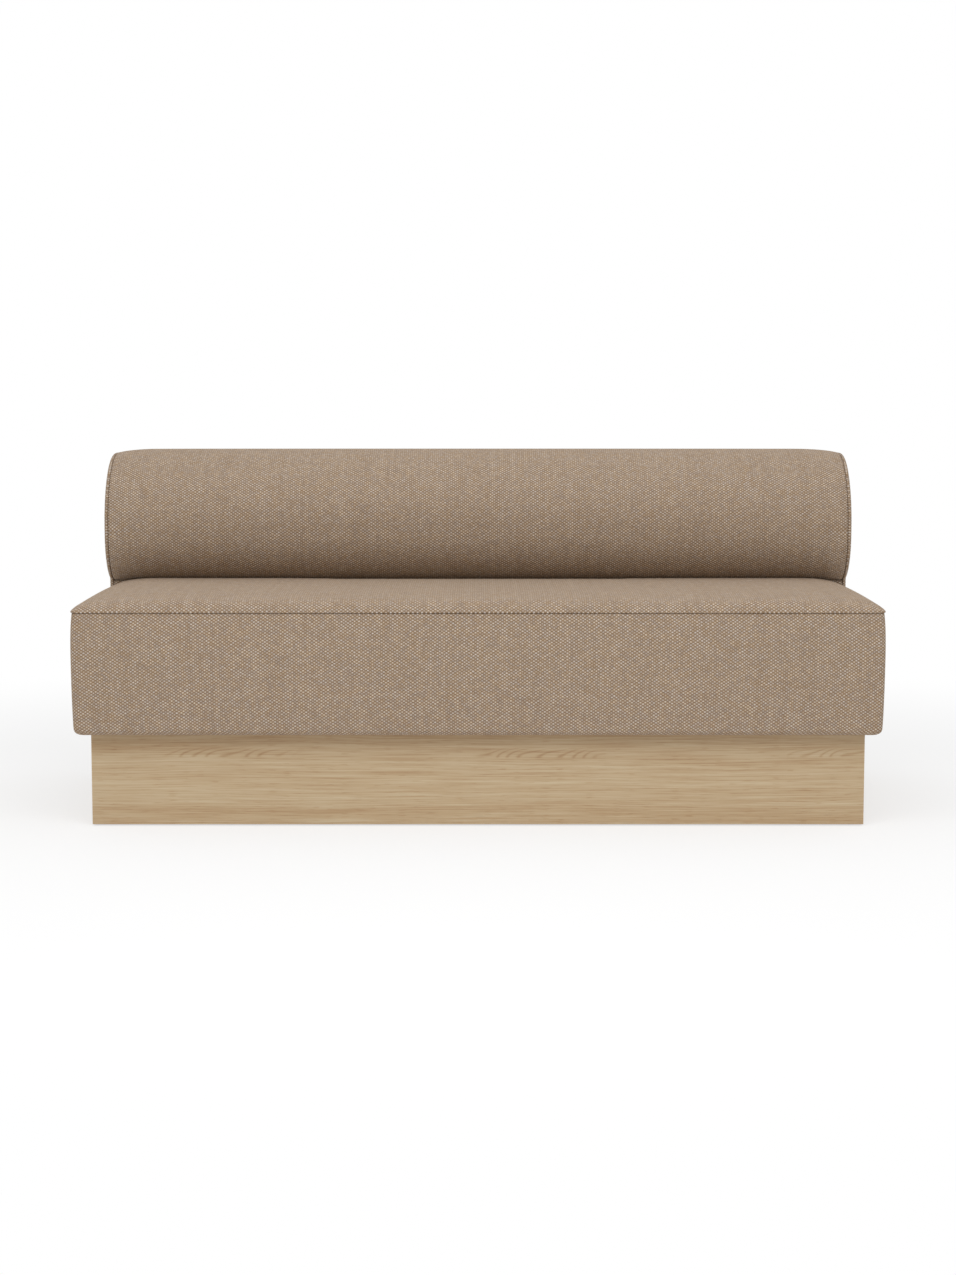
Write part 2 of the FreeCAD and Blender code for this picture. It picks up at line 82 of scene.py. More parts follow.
# %% Set up the camera
lens = bpy.data.cameras.new("camera")
lens.lens = 65.75
lens.sensor_width = 36.0
camera = bpy.data.objects.new("camera", lens)
camera.location = (0, -5.048, 0.8835)
camera.rotation_euler = (math.radians(90 - 6.01), 0, 0)
scene.collection.objects.link(camera)
scene.camera = camera
print("camera at", tuple(camera.location))

# %% [markdown]
# ## Writing shaders as sums
# A finish is a graph of nodes, but most of it is arithmetic. A small class wraps a socket and gives
# it plus, minus and times, so that the weave can be written the way it is thought of. Every other
# node comes from one method, which sets the node up first and then fills or links its sockets.

# %% A socket that can do sums
class Strand:
    """An output socket with arithmetic: each operator adds one Math node."""

    def __init__(self, finish, socket):
        self.finish = finish
        self.socket = socket

    def maths(self, operation, *others):
        inputs = dict(enumerate((self, *others)))
        return self.finish.node("ShaderNodeMath", {"operation": operation}, inputs)

    def __add__(self, other):
        return self.maths("ADD", other)

    __radd__ = __add__

    def __mul__(self, other):
        return self.maths("MULTIPLY", other)

    __rmul__ = __mul__

    def __sub__(self, other):
        return self.maths("SUBTRACT", other)

    def __rsub__(self, other):
        return (self * -1) + other

    def __truediv__(self, other):
        return self.maths("DIVIDE", other)

    def __pow__(self, power):
        return self.maths("POWER", power)

    def size(self):
        """The value without its sign."""
        return self.maths("ABSOLUTE")

    def wave(self):
        """The cosine of a whole turn per unit."""
        return (self * math.tau).maths("COSINE")

    def nearest(self):
        """The nearest whole number."""
        return self.maths("ROUND")

    def between(self, low, high):
        """0 below low, 1 above high, smooth in between."""
        return self.finish.node("ShaderNodeMapRange", {"interpolation_type": "SMOOTHSTEP"},
                                {"Value": self, "From Min": low, "From Max": high})


class Finish:
    """A material, or the world, with its shader and the nodes that feed it."""

    def __init__(self, name, kind=bpy.data.materials, shader="Principled BSDF"):
        self.material = kind.new(name)
        self.material.use_nodes = True
        self.tree = self.material.node_tree
        self.shader = self.tree.nodes[shader]

    def node(self, kind, settings, inputs, output=0):
        """Adds a node: its settings first, then the values or links of its sockets."""
        made = self.tree.nodes.new(kind)
        for name, value in settings.items():
            if name == "stops":
                ramp = made.color_ramp.elements
                for place, _ in value[1:-1]:
                    ramp.new(place)
                for stop, (place, colour) in zip(ramp, value):
                    stop.position = place
                    stop.color = colour
            else:
                setattr(made, name, value)
        for name, value in inputs.items():
            self.feed(made.inputs[name], value)
        return Strand(self, made.outputs[output])

    def feed(self, socket, value):
        """Links a strand to a socket, or writes a plain value there."""
        if isinstance(value, Strand):
            self.tree.links.new(value.socket, socket)
        else:
            socket.default_value = value

    def noise(self, where, scale, detail=2.0, output=0):
        """Smooth noise about 0.5, with so many lumps to a unit."""
        inputs = {"Vector": where, "Scale": scale, "Detail": detail}
        return self.node("ShaderNodeTexNoise", {}, inputs, output)

    def chance(self, where, output=0):
        """A number, or a colour, by chance for each whole place."""
        settings = {"noise_dimensions": "2D"}
        return self.node("ShaderNodeTexWhiteNoise", settings, {"Vector": where}, output)

    def parts(self, vector):
        """The three components of a vector."""
        return [self.node("ShaderNodeSeparateXYZ", {}, {"Vector": vector}, index)
                for index in range(3)]

    def join(self, x, y, z=0.0):
        """A vector from three components."""
        return self.node("ShaderNodeCombineXYZ", {}, {"X": x, "Y": y, "Z": z})

    def ramp(self, value, stops):
        """A colour read off a row of (place, colour) stops."""
        return self.node("ShaderNodeValToRGB", {"stops": stops}, {"Fac": value})

    def blend(self, share, first, second):
        """A colour between two, by a share."""
        return self.node("ShaderNodeMix", {"data_type": "RGBA"}, {0: share, 6: first, 7: second}, 2)

    def place(self, scale):
        """Object coordinates, stretched by three factors."""
        where = self.node("ShaderNodeTexCoord", {}, {}, "Object")
        return self.node("ShaderNodeMapping", {}, {"Vector": where, "Scale": scale})

    def surface(self, **sockets):
        """Feeds the Principled shader; underscores stand for spaces."""
        for name, value in sockets.items():
            self.feed(self.shader.inputs[name.replace("_", " ")], value)
        return self.material

    def bumps(self, height, distance, strength):
        """A normal tilted by a height."""
        return self.node("ShaderNodeBump", {}, {"Height": height, "Distance": distance,
                                                "Strength": strength})


def srgb(red, green, blue):
    """A screen colour of 0 to 255 as the linear colour that a shader takes."""
    share = np.array([red, green, blue]) / 255
    linear = np.where(share <= 0.04045, share / 12.92, ((share + 0.055) / 1.055) ** 2.4)
    return (*linear.tolist(), 1.0)


print("one shade of taupe:", srgb(159, 140, 120))

# %% [markdown]
# ## The cloth
# The cover is a coarse hopsack: thick light yarns surface in a half-drop pattern, like the black
# squares of a chess board, and darker, warmer ones lie between them. A repeat is about 9 mm along the
# sofa and 6.3 mm across. The product of two cosines peaks at exactly those places, so the weave needs
# no picture. It is drawn on each cover's own cloth map, in metres, so that it bends with the cloth.

# %% Weave the hopsack
repeat_along, repeat_across = 0.00905, 0.0063


def hopsack_cloth():
    """Light yarns where cos(across) * cos(up) is high, uneven in tone, tint, size and place."""
    cloth = Finish("hopsack")
    flat = cloth.node("ShaderNodeUVMap", {"uv_map": "cloth"}, {})
    across, up, _ = cloth.parts(flat)
    drift_across, drift_up, _ = cloth.parts(cloth.noise(flat, 55.0, 2.0, 1))
    across = across / repeat_along + (drift_across - 0.5) * 0.4
    up = up / repeat_across + (drift_up - 0.5) * 0.4
    weave = across.wave() * up.wave()
    ribs = (across * 2).wave()
    yarn = cloth.join((across + up).nearest(), (across - up).nearest())
    tone, tint, _ = cloth.parts(cloth.chance(yarn, 1))
    warp = cloth.chance(cloth.join((across * 2).nearest(), 0.5))
    patches = cloth.noise(flat, 28.0, 3.0)
    fibres = cloth.noise(flat, 900.0, 2.0)
    shade = (weave * (tone * 0.22 + 0.24) + (tone - 0.5) * 0.11 + ribs * 0.08 + (warp - 0.5) * 0.04
             + (patches - 0.5) * 0.1 + (fibres - 0.5) * 0.25 + 0.47)
    warmth = 0.5 - weave * 0.4 + (tint - 0.5) * 0.55
    places = (0.0, 0.22, 0.45, 0.7, 1.0)
    cool = [srgb(104, 88, 77), srgb(128, 112, 100), srgb(152, 136, 123), srgb(181, 168, 156),
            srgb(215, 205, 195)]
    warm = [srgb(114, 88, 61), srgb(138, 112, 84), srgb(162, 136, 107), srgb(191, 168, 140),
            srgb(223, 205, 181)]
    colour = cloth.blend(warmth, cloth.ramp(shade, list(zip(places, cool))),
                         cloth.ramp(shade, list(zip(places, warm))))
    height = weave + ribs * 0.15 + tone * 0.25 + fibres * 0.4
    return cloth.surface(Base_Color=colour, Roughness=0.92, Specular_IOR_Level=0.2,
                         Sheen_Weight=0.3, Sheen_Roughness=0.4,
                         Sheen_Tint=srgb(226, 204, 180),
                         Normal=cloth.bumps(height, 0.0009, 0.5))


hopsack = hopsack_cloth()
print("hopsack nodes:", len(hopsack.node_tree.nodes))

# %% [markdown]
# ## Oak veneer
# The plinth boards are veneered with oak, the grain running level round the sofa: fine long fibres,
# a few broad bands, and rows of small arches where the cut goes through the heart of a ring. Noise
# drawn out along the board makes the first two. For the arches a parabola is enough: the same curve
# every few centimetres, shown only in patches. The boards at the ends need the grain along the depth.

# %% Finish the oak
patch_repeat = 0.64
arch_height, arch_spacing, arch_steepness = 0.141, 0.033, 150.0


def oak_veneer(name, lengthwise):
    """Long grain: noises of the height up the board, which sways, drawn out along its length.

    An arch is the curve run = 150 * climb ** 2, repeated every 33 mm and cut off outside its patch.
    The board is a little warmer and darker from the arches upwards, and at its foot, as grain.
    The further darkening towards its top edge is painted shade, where the seat overhangs it.
    """
    oak = Finish(name)
    where = oak.parts(oak.place([1.0, 1.0, 1.0]))
    length, height = where[lengthwise] + where[1 - lengthwise] * 2.7, where[2]
    sway = (oak.noise(oak.join(length * 1.9, height * 6.0), 1.0) - 0.5) * 0.016
    level = height + sway
    bands = oak.noise(oak.join(length * 0.8, level * 42.0), 1.0)
    lines = oak.noise(oak.join(length * 1.9, level * 150.0), 1.0, 2.0)
    fibres = oak.noise(oak.join(length * 7.0, level * 400.0), 1.0, 1.0)
    pores = oak.noise(oak.join(length * 34.0, level * 560.0), 1.0, 0.0).between(0.62, 0.74)
    turn = length / patch_repeat + 0.24
    run = (turn - turn.nearest()) * patch_repeat
    climb = level - arch_height
    wander = (oak.noise(oak.join(length * 14.0, 0.0), 1.0, 0.0) - 0.5) * 0.08
    ridge = (run + wander - climb * climb * arch_steepness) / arch_spacing
    arches = (ridge.wave() * 0.5 + 0.5) ** 4.0
    patch = (climb.between(-0.002, 0.003) * (1 - climb.between(0.011, 0.024))
             * (1 - run.size().between(0.08, 0.16)))
    # painted shade: the middle term darkens the top edge of the board, where the seat overhangs it;
    # the first and last terms are grain tone at the arches and at the foot
    grain_tone_and_painted_shade = (climb.between(-0.012, 0.000) * 0.4 + climb.between(0.006, 0.022) * 0.8
             + (1 - level.between(0.034, 0.046)) * 0.8)
    shade = ((bands - 0.5) * 0.55 + (lines - 0.5) * 0.45 + (fibres - 0.5) * 0.85 + 0.64
             - grain_tone_and_painted_shade * 0.13 - pores * 0.16 - arches * patch * 0.32)
    colour = oak.ramp(shade, [
        (0.0, srgb(158, 124, 86)), (0.35, srgb(178, 149, 113)), (0.6, srgb(190, 166, 132)),
        (1.0, srgb(204, 187, 156))])
    return oak.surface(Base_Color=colour, Roughness=0.5 + (fibres - 0.5) * 0.2,
                       Specular_IOR_Level=0.35, Coat_Weight=0.08, Coat_Roughness=0.35,
                       Normal=oak.bumps(fibres * 0.4 - pores, 0.0003, 0.5))


oak_long = oak_veneer("oak_long", 0)
oak_end = oak_veneer("oak_end", 1)
veneers = {"front": oak_long, "rear": oak_long, "left": oak_end, "right": oak_end}
for side, veneer in veneers.items():
    board = frame["nodes"][f"plinth_{side}_board"]
    board.data.materials.clear()
    board.data.materials.append(veneer)
    print(board.name, "is veneered with", veneer.name)

# %% [markdown]
# ## From numbers to cloth
# Every cover is a grid: rows one way, columns the other, each point worked out by a formula over
# whole arrays. One helper turns such a grid into a mesh. It also lays the flat cloth out as a map,
# in metres, for the weave, and turns the grid round if its faces would look inwards.

# %% Make a cover from a grid
def cover(name, points, flat, inside, closed=False, capped=False):
    """A grid of points (rows, columns, 3), with a place on the flat cloth for each, as quads.

    A closed grid joins its last column to its first, and its cloth has one column more. A capped one
    also gets a face across its last row. Faces look away from the point called inside.
    """
    rows, columns, _ = points.shape
    spans = columns if closed else columns - 1
    row, column = np.meshgrid(np.arange(rows - 1), np.arange(spans), indexing="ij")
    grid_rows = np.stack([row, row, row + 1, row + 1], -1).reshape(-1, 4)
    grid_columns = np.stack([column, column + 1, column + 1, column], -1).reshape(-1, 4)
    corners = grid_rows * columns + grid_columns % columns
    place = points.reshape(-1, 3)
    quads = place[corners]
    normals = np.cross(quads[:, 2] - quads[:, 0], quads[:, 3] - quads[:, 1])
    order = 1 if (normals * (quads.mean(1) - inside)).sum() > 0 else -1
    cap = np.arange(columns)[::order] if capped else np.arange(0)
    corners = np.concatenate([corners[:, ::order].ravel(), (rows - 1) * columns + cap])
    grid_rows = np.concatenate([grid_rows[:, ::order].ravel(), 0 * cap + rows - 1])
    grid_columns = np.concatenate([grid_columns[:, ::order].ravel(), cap])
    starts = np.arange(0, len(corners) - len(cap) + (1 if capped else 0), 4)
    mesh = bpy.data.meshes.new(name)
    mesh.vertices.add(len(place))
    mesh.vertices.foreach_set("co", place.ravel())
    mesh.loops.add(len(corners))
    mesh.loops.foreach_set("vertex_index", corners)
    mesh.polygons.add(len(starts))
    mesh.polygons.foreach_set("loop_start", starts)
    mesh.polygons.foreach_set("use_smooth", np.ones(len(starts), bool))
    mesh.uv_layers.new(name="cloth").data.foreach_set("uv", flat[grid_rows, grid_columns].ravel())
    mesh.update()
    mesh.validate()
    mesh.materials.append(hopsack)
    piece = bpy.data.objects.new(name, mesh)
    scene.collection.objects.link(piece)
    print(name, "has", len(place), "points")
    return piece


def along_rows(points):
    """How far each point is along its column, row by row."""
    steps = np.linalg.norm(np.diff(points, axis=0), axis=-1)
    return np.concatenate([np.zeros((1, points.shape[1])), np.cumsum(steps, 0)])


def along_columns(points):
    """How far each point is along its row, column by column."""
    return along_rows(points.swapaxes(0, 1)).T


# %% [markdown]
# ## Stuffing
# A cover is never exactly the shape that it was cut to: the foam behind it pushes it out between
# its seams. Blender's cloth solver does this well. The seams are pinned, a little pressure blows
# the cloth out for twenty frames, and only a few millimetres of the movement are kept, because this
# sofa is pulled tight. One subdivision then smooths the grid.

# %% Blow a cover out from its seams
solver_frames, solver_quality, stuffing_pressure = 20, 5, 4.0


def stuff(piece, pinned, most, share=1.0):
    """Runs the cloth solver with the seams pinned, and keeps at most so much of the movement.

    Of a move, the outward part d is kept, shortened to most * d / (most + d) and weighed by share.
    """
    rest = np.empty(len(piece.data.vertices) * 3)
    outward = np.empty(rest.size)
    piece.data.vertices.foreach_get("co", rest)
    piece.data.vertices.foreach_get("normal", outward)
    rest, outward = rest.reshape(-1, 3), outward.reshape(-1, 3)
    seam = piece.vertex_groups.new(name="seam")
    seam.add(np.flatnonzero(pinned).tolist(), 1.0, "REPLACE")
    solver = piece.modifiers.new("stuffing", "CLOTH")
    solver.settings.quality = solver_quality
    solver.settings.use_pressure = True
    solver.settings.uniform_pressure_force = stuffing_pressure
    solver.settings.vertex_group_mass = "seam"
    solver.settings.effector_weights.gravity = 0.0
    solver.point_cache.frame_start, solver.point_cache.frame_end = 1, solver_frames
    for tick in range(1, solver_frames + 1):
        scene.frame_set(tick)
    blown = piece.evaluated_get(bpy.context.evaluated_depsgraph_get())
    there = np.empty(rest.size)
    blown.data.vertices.foreach_get("co", there)
    swelling = ((there.reshape(-1, 3) - rest) * outward).sum(1).clip(0, None)
    swelling = swelling * most / (most + swelling) * np.ravel(share)
    piece.modifiers.remove(solver)
    piece.vertex_groups.remove(seam)
    scene.frame_set(1)
    piece.data.vertices.foreach_set("co", (rest + outward * swelling[:, None]).ravel())
    piece.data.update()
    print(piece.name, "swelled by up to", round(1000 * swelling.max(), 2), "mm")
    smooth(piece)


def smooth(piece):
    """One subdivision, the same for the viewport and the render."""
    rounding = piece.modifiers.new("smooth", "SUBSURF")
    rounding.levels = rounding.render_levels = 1


def dress(piece, fill, *nodes):
    """The finished cover rides on the sofa and stands for these nodes of the frame."""
    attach(piece, "sofa")
    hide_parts(*nodes)


# %% [markdown]
# ## The seat's outline
# Both parts of the seat follow a rectangle with rounded front corners. Its rear edge stays against
# the back, so only the front and the ends draw in as the crown rises. The left half is written
# down, corner by corner, and the right half is its mirror image.

# %% Measure the seat and the back
# The grids stay this far inside the ends and the top of the frame's roll.
set_back = 0.0015
seat_low, seat_high = (np.array(corner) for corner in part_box("seat_border_cover"))
half_width, seat_front, seat_rear = seat_high[0], seat_low[1], seat_high[1]
plinth_top, seat_edge = seat_low[2], seat_high[2]
seat_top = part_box("seat_top_cover")[1][2]
roll_low, roll_high = (np.array(corner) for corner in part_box("roll_cover"))
end_low, end_high = (np.array(corner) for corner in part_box("right_end_cover"))
rim, back, neck = roll_high[0] - set_back, roll_high[1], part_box("neck_cover")[0][1]
belly, rim_top = end_low[1], end_high[2]
print("seat edge at", round(seat_edge, 4), "and crown at", round(seat_top, 4))
print("rim at", round(rim, 4), "belly at", round(belly, 4), "and neck at", round(neck, 4))

# %% [markdown]
# ## The roll's underside
# The seat meets the roll from below, so this curve is needed before either is sewn. The radii are
# those of the frame. The lower arc is opened out a little, so that it ends in the crevice just under
# the frame's own roll: one radius follows from the two points that the arc must join.

# %% Draw the roll's underside
upper, rear_turn, frame_lower = 0.160, 0.095, 0.105
crevice_drop = 0.005
belly_height = roll_low[2] + math.sqrt(frame_lower ** 2 - (belly + frame_lower - neck) ** 2)
crevice = roll_low[2] - crevice_drop
lower = ((belly_height - crevice) ** 2 + (neck - belly) ** 2) / (2 * (neck - belly))
fullness = roll_high[2] - rim_top - set_back


def under_roll(depth):
    """How high the roll's underside is at a depth: its lower arc, where the roll is fullest."""
    from_axis = belly + lower - np.clip(depth, belly, None)
    return belly_height + fullness - np.sqrt((lower + fullness) ** 2 - from_axis ** 2)


print("underside radius", round(lower, 4), "and crevice at", round(crevice, 4))


# %% Draw the seat's outline
def swell(share, power=2.2):
    """How full a padded edge is: 1 - (1 - share) ** power, from 0 on its seam to 1 where flat."""
    return 1 - (1 - np.clip(share, 0, 1)) ** power


def blocks(*pieces):
    """Columns side by side, each piece spread over all rows."""
    rows = max(piece.shape[0] for piece in pieces)
    return np.concatenate([np.broadcast_to(piece, (rows, piece.shape[1])) for piece in pieces], 1)


side_steps = np.concatenate([np.array([0, 3, 6, 9, 12, 15, 18, 22, 27, 34, 44]) / 530,
                             np.linspace(0.11, 1, 30, endpoint=False)])
corner_columns, front_columns = 8, 56


def seat_half(inset, corner):
    """Half an outline, from the rear of the left end to the middle of the front.

    The side runs forward to the corner, the corner turns by a quarter circle, the front runs in.
    Gives x, y, the outward direction, and how full the edge is: least at the corners.
    """
    inset, corner = np.reshape(inset, (-1, 1)), np.reshape(corner, (-1, 1))
    left, fore = inset - half_width, seat_front + inset
    down = side_steps[None]
    turn = np.linspace(0, math.pi / 2, corner_columns, endpoint=False)[None]
    along = np.linspace(0, 1, front_columns)[None]
    x = blocks(left + 0 * down, left + corner * (1 - np.cos(turn)), (left + corner) * (1 - along))
    y = blocks(seat_rear + (fore + corner - seat_rear) * down, fore + corner * (1 - np.sin(turn)),
               fore + 0 * along)
    out_x = blocks(0 * down - 1, -np.cos(turn), 0 * along)
    out_y = blocks(0 * down, -np.sin(turn), 0 * along - 1)
    return x, y, out_x, out_y, blocks(np.sin(math.pi * down), 0 * turn, swell(along, 8))


def mirrored(half, sign):
    """A half outline and its mirror image; the middle column is shared."""
    return np.concatenate([half, sign * half[:, -2::-1]], 1)


# %% [markdown]
# ## The seat's top panel
# The photograph shows one panel over the whole seat. It stands up from its seam in a small rolled
# lip, climbs steeply at first and then flattens into a low crown, which stays level up to the back.
# Rings that shrink towards the rear edge follow all of that. A height field over x and y could not
# make the lip, which overhangs the seam. Its rear edge is pressed down by the roll.

# %% Sew the seat's top panel
corner_radius, shoulder, ring_reach = 0.012, 0.150, 0.530
lip = np.array([(4.6, 0.2), (3.0, 0.2), (1.8, 0.6), (1.2, 1.5), (1.0, 2.9), (1.4, 4.5)]) / 1000
climb = np.array([2.6, 4.5, 7, 10, 14, 19, 26, 35, 46, 60, 78, 98, 118, 136, 150]) / 1000
level = np.array([175, 210, 250, 300, 350, 400, 450, 500, 528]) / 1000
ring_inset = np.concatenate([lip[:, 0], climb, level])
ring_corner = np.where(ring_inset < shoulder, corner_radius + 0.5 * ring_inset,
                       0.087 * (ring_reach - ring_inset) / 0.380)
x, y, out_x, out_y, full = seat_half(ring_inset, ring_corner)
x, y, full = mirrored(x, -1), mirrored(y, 1), mirrored(full, 1)
out_x, out_y = mirrored(out_x, -1), mirrored(out_y, 1)
from_lip = climb[:, None] - 0.001
crown = seat_top - seat_edge + 0.0028
frontal = -out_y * full
edge_roll = 0.0136 + 0.0055 * full + 0.0072 * frontal
edge_bend = 0.0115 - 0.002 * frontal
rise = edge_roll * (1 - np.exp(-from_lip / edge_bend))
rise = rise + (crown - edge_roll) * swell(from_lip / 0.110, 2.5)
rise = rise + 0.0040 * np.exp(-from_lip / 0.010)
rise = np.concatenate([lip[:, 1:] + 0 * full, rise, crown + 0 * level[:, None] * full])
rings = np.stack([x, y, np.minimum(seat_edge + rise, under_roll(y) - 0.001)], -1)
spare = along_rows(rings[::-1])[::-1] - along_rows(rings[::-1, :, :2])[::-1]
flat = np.stack([x + out_x * spare, y + out_y * spare], -1)
seat_top_panel = cover("seat_top_panel", rings, flat, (0, 0, 0.2))
pinned = np.zeros(x.shape, bool)
pinned[:len(lip)] = True
pinned[:, [0, -1]] = True
pinned[-1] = True
clear_of_back = 1 - np.clip((y - 0.02) / 0.10, 0, 1)
stuff(seat_top_panel, pinned, most=0.003, share=clear_of_back)
dress(seat_top_panel, 0.9, "seat_top_cover", "seat_crown_pad")

# %% [markdown]
# ## The boxing band
# Under the seam, one band goes right round the seat. It swells a little in the middle of its height,
# rolls under at the foot and is stapled beneath. A closed loop of columns with one profile from foot
# to seam makes it in one piece. Against the back it is flat, and only its return goes under.

# %% Sew the boxing band
foot_turn = np.linspace(0, math.pi / 2, 7)
foot_roll, foot_draw = 0.014, 0.003
foot = np.stack([foot_draw + foot_roll * (1 - np.sin(foot_turn)),
                 plinth_top + foot_roll * (1 - np.cos(foot_turn))], -1)
fullest = plinth_top + 0.7 * (seat_edge - plinth_top)
wall_share = np.linspace(0, 1, 12)[1:]
wall = np.stack([foot_draw * (1 - wall_share) ** 2,
                 plinth_top + foot_roll + (fullest - plinth_top - foot_roll) * wall_share], -1)
draw_share = np.array([0.15, 0.3, 0.45, 0.6, 0.75, 0.88, 0.95])
draw = np.stack([0.0032 * draw_share ** 2, fullest + (seat_edge - fullest) * draw_share], -1)
tuck = np.array([(3.25, -1.2), (3.5, -0.6), (4.6, -0.2)]) / 1000 + (0, seat_edge)
under = np.array([(0.056, plinth_top), (0.036, plinth_top)])
profile = np.concatenate([under, foot, wall, draw, tuck])
x, y, _, _, _ = seat_half(profile[:, 0], corner_radius + 0 * profile[:, 0])
rear_x = np.linspace(0, 1, front_columns)[None, 1:-1] * x[:, :1]
x = np.concatenate([mirrored(x, -1), -rear_x[:, ::-1], rear_x[:, :1] * 0, rear_x], 1)
rear_inset = np.append(under[:, 0], np.zeros(len(profile) - len(under)))[:, None]
rear_y = seat_rear - rear_inset + np.zeros((len(y), x.shape[1] - 2 * y.shape[1] + 1))
y = np.concatenate([mirrored(y, 1), rear_y], 1)
loops = np.stack([x, y, np.broadcast_to(profile[:, 1:], x.shape)], -1)
widest = len(under) + len(foot) + len(wall) - 1
map_start = 1.2
around = along_columns(np.concatenate([loops, loops[:, :1]], 1))[widest] - map_start
upward = along_rows(loops)
flat = np.stack(np.broadcast_arrays(around[None], np.concatenate([upward, upward[:, :1]], 1)), -1)
boxing_band = cover("boxing_band", loops, flat, (0, -0.1, 0.3), closed=True)
pinned = np.zeros(x.shape, bool)
pinned[:len(under) + 4] = True
pinned[-len(tuck):] = True
pinned |= y > seat_rear - 0.02
stuff(boxing_band, pinned, most=0.0015)
dress(boxing_band, 0.95, "seat_border_cover", "seat_core_foam", "seat_front_pad", "seat_left_pad",
      "seat_right_pad")

# %% [markdown]
# ## The roll
# The back is a wall with a round roll in front of it and on top: a P seen from the end. Its cover is
# one long tube, full along its length and drawn down where the end panels are sewn on. Every station
# along the sofa gets the same chain of arcs, with radii that grow by the fullness there and shrink
# by the tuck at a seam.

# %% Draw the roll's section
def arc_run(centre_y, centre_z, radius, start, end, count):
    """Points on a circle about the X axis; the angle is 0 at the front and grows upwards."""
    angle = start + (end - start) * np.linspace(0, 1, count)[None]
    return centre_y - radius * np.cos(angle), centre_z + radius * np.sin(angle)


def roll_section(grow, draw):
    """The roll's outline at stations that swell by grow and are drawn in by draw.

    A lower arc from the wall to the front, an upper arc to the top, and a rear arc to the rear.
    """
    grow, draw = np.reshape(grow, (-1, 1)), np.reshape(draw, (-1, 1))
    change = grow - draw
    below = -np.arccos((belly + lower - neck - draw) / (lower + change))
    runs = [
        arc_run(belly + lower, belly_height + grow, lower + change, below, 0 * below, 24),
        arc_run(belly + upper, rim_top - upper, upper + change, 0, math.pi / 2, 30),
        arc_run(back - rear_turn, rim_top + grow - rear_turn, rear_turn - draw, math.pi / 2,
                math.pi, 18),
    ]
    return blocks(*(run[0] for run in runs)), blocks(*(run[1] for run in runs))


# %% Sew the roll
near_end = np.array([0, 0.6, 1.6, 3.2, 6, 10, 16, 24, 34, 46, 60, 76]) / 1000
end_span, draw_length, tuck_depth, tuck_length = 0.095, 0.080, 0.0045, 0.0011
stations = np.concatenate([near_end - rim, np.linspace(end_span - rim, rim - end_span, 108),
                           rim - near_end[::-1]])
from_end = rim - np.abs(stations)
grow = fullness * swell(from_end / draw_length)
end_tuck = tuck_depth * np.exp(-from_end / tuck_length)
y, z = roll_section(grow, end_tuck)
crease = np.stack([neck + np.array([0.012, 0.004]) + 0 * y[:, :2],
                   crevice + np.array([0.002, 0.0007]) + 0 * y[:, :2]])
hem = np.stack([back - end_tuck[:, None] - np.array([0, 0.001, 0.005]),
                rim_top - rear_turn + np.array([0.0025, 0.0008, 0.0003]) + 0 * y[:, :3]])
y = np.concatenate([crease[0], y, hem[0]], 1)
z = np.concatenate([crease[1], z, hem[1]], 1)
tube = np.stack([np.broadcast_to(stations[:, None], y.shape), y, z], -1)
round_way = along_columns(tube)[len(tube) // 2]
flat = np.stack(np.broadcast_arrays(stations[:, None], round_way[None]), -1)
roll = cover("roll", tube, flat, (0, 0.23, 0.61))
seam_stations = 4
pinned = np.zeros(y.shape, bool)
pinned[:seam_stations] = pinned[-seam_stations:] = True
pinned[:, :4] = pinned[:, -5:] = True
clear_of_seat = np.clip((z - 0.50) / 0.06, 0, 1)
stuff(roll, pinned, most=0.003, share=clear_of_seat)
dress(roll, 0.95, "roll_cover", "roll_foam")

# %% [markdown]
# ## The wall below the roll
# Between the roll and the seat a narrow strip of the wall shows at both ends, and the rest goes down
# behind the seat and under the back. Behind, one flat panel closes the back from the roll's rear seam
# to the foot. Both are the same kind of grid: stations along the sofa, and a profile down and under.

# %% Sew the neck strip and the rear panel
def hanging(name, profile, outward, inside):
    """A profile of (y, z) points carried along the sofa, drawn in by the end tuck along outward."""
    profile, outward = np.array(profile), np.array(outward)
    y = profile[:, 0] - outward[:, 0] * end_tuck[:, None]
    z = profile[:, 1] - outward[:, 1] * end_tuck[:, None]
    strip = np.stack([np.broadcast_to(stations[:, None], y.shape), y, z], -1)
    down = along_columns(strip)[len(strip) // 2]
    flat = np.stack(np.broadcast_arrays(stations[:, None], -down[None]), -1)
    return cover(name, strip, flat, inside)


def down_and_under(face, top, reach, out, fold=0.006):
    """A profile from a seam down a face, round a fold at the foot and under to a reach."""
    drop = np.linspace(top - 0.003, plinth_top + fold, 18)
    bend = np.linspace(0, math.pi / 2, 5)[1:]
    seam = [(face - 0.005 * out, top - 0.0003), (face - 0.001 * out, top - 0.0010)]
    side = [(face, height) for height in drop]
    turn = [(face - out * fold * (1 - math.cos(angle)), plinth_top + fold * (1 - math.sin(angle)))
            for angle in bend]
    floor = [(face + (reach - face) * share, plinth_top) for share in (0.3, 0.6, 1.0)]
    outward = [(out, 0)] * (len(seam) + len(side))
    outward += [(out * math.cos(angle), -math.sin(angle)) for angle in bend]
    return seam + side + turn + floor, outward + [(0, -1)] * len(floor)


under_reach, rear_seam = back - rear_turn, rim_top - rear_turn
neck_profile = down_and_under(neck, crevice, under_reach, -1)
rear_profile = down_and_under(back, rear_seam, under_reach, 1)
neck_strip = hanging("neck_strip", *neck_profile, (0, 0.26, 0.35))
rear_panel = hanging("rear_panel", *rear_profile, (0, 0.26, 0.4))
pinned = np.zeros((len(stations), len(rear_profile[0])), bool)
pinned[:seam_stations] = pinned[-seam_stations:] = True
pinned[:, :3] = pinned[:, -8:] = True
stuff(rear_panel, pinned, most=0.002)
smooth(neck_strip)
dress(neck_strip, 0.9, "neck_cover")
dress(rear_panel, 0.9, "rear_cover", "rear_pad")

